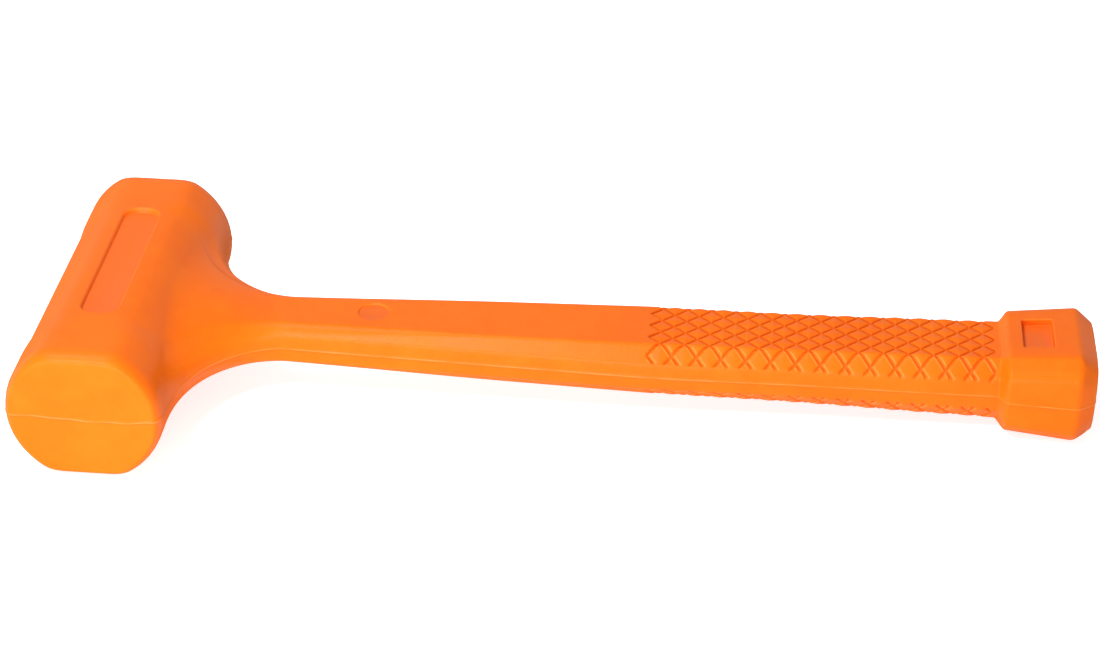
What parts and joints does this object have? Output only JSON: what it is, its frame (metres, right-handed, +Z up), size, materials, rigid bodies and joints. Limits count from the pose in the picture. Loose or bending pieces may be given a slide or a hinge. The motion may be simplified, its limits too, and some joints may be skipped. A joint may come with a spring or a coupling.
{
  "type": "dead blow hammer",
  "caption": "Orange polyurethane dead blow hammer: round head with two flats, flared neck, cross-hatched grip, eight-sided end collar and loose steel shot in a sealed canister.",
  "frame": {"origin": "centre of the lower flat of the head, on which the hammer lies", "axes": "+X along the handle from the head to the end collar, +Y along the head from the front striking face to the rear one, +Z up through the two flats"},
  "size_m": [0.3057, 0.1054, 0.0402],
  "materials": {
    "polyurethane": "satin, finely pitted moulded skin",
    "tube_steel": "drawn tube",
    "cap_steel": "turned",
    "rod_steel": "mill scale",
    "shot_steel": "tumbled bright"
  },
  "bodies": {
    "hammer_body": {"upper_moulding": "polyurethane", "lower_moulding": "polyurethane", "canister_tube": "tube_steel", "front_cap": "cap_steel", "rear_cap": "cap_steel", "core_rod": "rod_steel"},
    "shot_lane1": {"shot_lane1_ball1": "shot_steel", "shot_lane1_ball2": "shot_steel", "shot_lane1_ball3": "shot_steel", "shot_lane1_ball4": "shot_steel", "shot_lane1_ball5": "shot_steel", "shot_lane1_ball6": "shot_steel"},
    "shot_lane2": {"shot_lane2_ball1": "shot_steel", "shot_lane2_ball2": "shot_steel", "shot_lane2_ball3": "shot_steel", "shot_lane2_ball4": "shot_steel", "shot_lane2_ball5": "shot_steel", "shot_lane2_ball6": "shot_steel"},
    "shot_lane3": {"shot_lane3_ball1": "shot_steel", "shot_lane3_ball2": "shot_steel", "shot_lane3_ball3": "shot_steel", "shot_lane3_ball4": "shot_steel", "shot_lane3_ball5": "shot_steel", "shot_lane3_ball6": "shot_steel"},
    "shot_lane4": {"shot_lane4_ball1": "shot_steel", "shot_lane4_ball2": "shot_steel", "shot_lane4_ball3": "shot_steel", "shot_lane4_ball4": "shot_steel", "shot_lane4_ball5": "shot_steel", "shot_lane4_ball6": "shot_steel"},
    "shot_lane5": {"shot_lane5_ball1": "shot_steel", "shot_lane5_ball2": "shot_steel", "shot_lane5_ball3": "shot_steel", "shot_lane5_ball4": "shot_steel", "shot_lane5_ball5": "shot_steel", "shot_lane5_ball6": "shot_steel"},
    "shot_lane6": {"shot_lane6_ball1": "shot_steel", "shot_lane6_ball2": "shot_steel", "shot_lane6_ball3": "shot_steel", "shot_lane6_ball4": "shot_steel", "shot_lane6_ball5": "shot_steel", "shot_lane6_ball6": "shot_steel"},
    "shot_lane7": {"shot_lane7_ball1": "shot_steel", "shot_lane7_ball2": "shot_steel", "shot_lane7_ball3": "shot_steel", "shot_lane7_ball4": "shot_steel", "shot_lane7_ball5": "shot_steel", "shot_lane7_ball6": "shot_steel"}
  },
  "joints": [
    {"name": "lane1_slide", "type": "slide", "parent": "hammer_body", "child": "shot_lane1", "axis": [0, 1, 0], "range_m": [-0.0101, 0.0101]},
    {"name": "lane2_slide", "type": "slide", "parent": "hammer_body", "child": "shot_lane2", "axis": [0, 1, 0], "range_m": [-0.0101, 0.0101]},
    {"name": "lane3_slide", "type": "slide", "parent": "hammer_body", "child": "shot_lane3", "axis": [0, 1, 0], "range_m": [-0.0101, 0.0101]},
    {"name": "lane4_slide", "type": "slide", "parent": "hammer_body", "child": "shot_lane4", "axis": [0, 1, 0], "range_m": [-0.0101, 0.0101]},
    {"name": "lane5_slide", "type": "slide", "parent": "hammer_body", "child": "shot_lane5", "axis": [0, 1, 0], "range_m": [-0.0101, 0.0101]},
    {"name": "lane6_slide", "type": "slide", "parent": "hammer_body", "child": "shot_lane6", "axis": [0, 1, 0], "range_m": [-0.0101, 0.0101]},
    {"name": "lane7_slide", "type": "slide", "parent": "hammer_body", "child": "shot_lane7", "axis": [0, 1, 0], "range_m": [-0.0101, 0.0101]}
  ]
}
